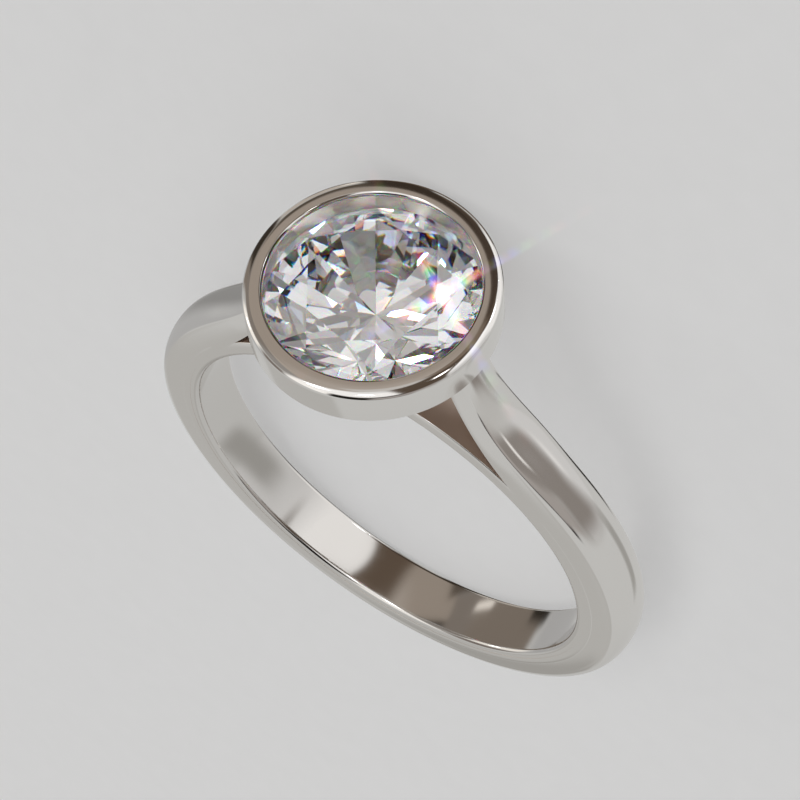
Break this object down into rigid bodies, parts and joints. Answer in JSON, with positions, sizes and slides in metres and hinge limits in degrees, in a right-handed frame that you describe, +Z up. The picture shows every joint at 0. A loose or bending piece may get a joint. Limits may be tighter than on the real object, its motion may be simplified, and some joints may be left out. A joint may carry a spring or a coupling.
{
  "type": "bezel-set ring",
  "caption": "Polished silver ring with tapering cathedral shoulders, a rail under the head and a round bezel holding a brilliant-cut clear stone.",
  "frame": {"origin": "centre of the finger hole", "axes": "+Z up with the ring lying on its side, -Y towards the head with its stone, +X across the ring; the finger hole's axis leans 8.6 degrees from +Z towards +Y, because the ring rests on the bezel and on the far edge of the band"},
  "size_m": [0.0214, 0.0255, 0.0092],
  "materials": {
    "silver": "high polish, rhodium plated",
    "clear_stone": "polished facets"
  },
  "bodies": {
    "root": {"ring_mount": "silver", "stone": "clear_stone"}
  },
  "joints": []
}
